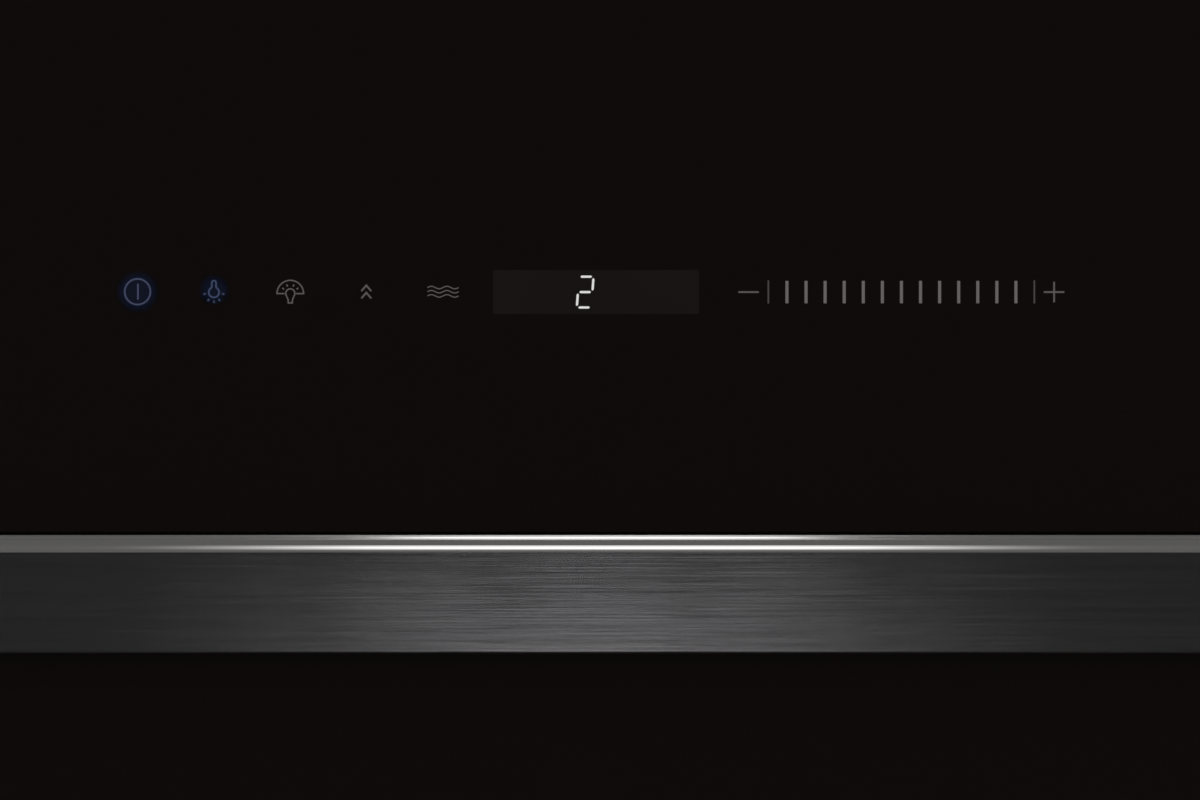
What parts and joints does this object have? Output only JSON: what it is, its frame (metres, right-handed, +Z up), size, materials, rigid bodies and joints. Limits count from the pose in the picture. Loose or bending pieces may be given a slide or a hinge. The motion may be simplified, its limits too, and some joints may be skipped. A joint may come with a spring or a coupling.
{
  "type": "inclined wall-mounted range hood",
  "caption": "Inclined chimney range hood with black glass front, touch controls, metal trim bar, hinged glass flap, grease filters, blower and sliding chimney.",
  "frame": {"origin": "centre of the four wall holes on the wall plane", "axes": "+X right along the wall, +Y into the wall, +Z up"},
  "size_m": [0.89, 0.4988, 1.0478],
  "materials": {
    "glass_black": "black back-printed toughened glass",
    "trim_brushed": "dark brushed along its length",
    "trim_bright": "bright-cut rounded edge",
    "cap_dark": "fine moulded texture",
    "body_black": "fine satin powder coat",
    "chimney_dark": "dark brushed sheet",
    "galvanised": "zinc-coated sheet",
    "pan_black": "enamelled sheet",
    "hinge_steel": "zinc-plated",
    "magnet_cap": "moulded",
    "rubber_black": "soft",
    "filter_alu": "satin rolled channel",
    "filter_mesh": "expanded mesh",
    "spring_steel": "thin spring strip",
    "blower_plastic": "moulded",
    "motor_metal": "die cast",
    "collar_plastic": "moulded",
    "tape": "foam tape",
    "board": "solder mask",
    "guide_white": "diffusing",
    "display": "dark segment display",
    "lens": "frosted"
  },
  "bodies": {
    "root": {"ambient_channel": "motor_metal", "ambient_diffuser": "lens", "back_panel": "galvanised", "blower_housing_left": "blower_plastic", "blower_housing_right": "blower_plastic", "bottom_panel": "body_black", "cable_gland": "cap_dark", "chimney_lower": "chimney_dark", "control_board": "board", "control_housing": "cap_dark", "damper_pin": "hinge_steel", "display_module": "display", "filter_catches_left": "spring_steel", "filter_catches_right": "spring_steel", "filter_panel": "body_black", "filter_trays": "body_black", "flap_bumpers": "rubber_black", "flap_magnets": "magnet_cap", "glass_bond": "tape", "hang_plates": "galvanised", "hinge_brackets": "hinge_steel", "hinge_pins": "hinge_steel", "lamp_bezels": "motor_metal", "lamp_housings": "motor_metal", "lamp_lenses": "lens", "light_guide": "guide_white", "motor_body": "motor_metal", "motor_bracket": "galvanised", "motor_bushes": "rubber_black", "outlet_collar": "collar_plastic", "power_board": "board", "power_box": "cap_dark", "power_box_lid": "cap_dark", "side_panel_left": "body_black", "side_panel_right": "body_black", "top_panel": "body_black", "trim_bar": "trim_brushed", "trim_edge": "trim_bright", "trim_end_caps": "cap_dark", "upper_front_panel": "body_black", "upper_glass": "glass_black"},
    "flap": {"flap_glass": "glass_black", "flap_frame": "pan_black", "flap_rails": "pan_black", "hinge_arms": "hinge_steel"},
    "filter_left": {"filter_frame_left": "filter_alu", "filter_mesh_left": "filter_mesh", "filter_core_left": "filter_mesh", "filter_handle_left": "filter_alu"},
    "filter_right": {"filter_frame_right": "filter_alu", "filter_mesh_right": "filter_mesh", "filter_core_right": "filter_mesh", "filter_handle_right": "filter_alu"},
    "rotor": {"impeller": "blower_plastic", "motor_shaft": "hinge_steel"},
    "damper_front": {"damper_front": "collar_plastic"},
    "damper_back": {"damper_back": "collar_plastic"},
    "chimney_slider": {"chimney_upper": "chimney_dark", "chimney_bracket": "galvanised"}
  },
  "joints": [
    {"name": "flap_hinge", "type": "hinge", "parent": "root", "child": "flap", "pos_m": [0, -0.37011, 0.00541], "axis": [-1, 0, 0], "range_deg": [0, 75]},
    {"name": "filter_tilt_left", "type": "hinge", "parent": "root", "child": "filter_left", "pos_m": [-0.2, -0.20746, -0.2009], "axis": [1, 0, 0], "range_deg": [0, 5.5], "deforming": ["filter_catches_left"]},
    {"name": "filter_tilt_right", "type": "hinge", "parent": "root", "child": "filter_right", "pos_m": [0.2, -0.20746, -0.2009], "axis": [1, 0, 0], "range_deg": [0, 5.5], "deforming": ["filter_catches_right"]},
    {"name": "fan_spin", "type": "hinge", "parent": "root", "child": "rotor", "pos_m": [0, -0.21, 0.05], "axis": [1, 0, 0], "continuous": true},
    {"name": "damper_front_swing", "type": "hinge", "parent": "root", "child": "damper_front", "pos_m": [0, -0.14, 0.225], "axis": [-1, 0, 0], "range_deg": [0, 75]},
    {"name": "damper_back_swing", "type": "hinge", "parent": "root", "child": "damper_back", "pos_m": [0, -0.14, 0.225], "axis": [1, 0, 0], "range_deg": [0, 75]},
    {"name": "chimney_slide", "type": "slide", "parent": "root", "child": "chimney_slider", "axis": [0, 0, 1], "range_m": [-0.12, 0.15]}
  ]
}
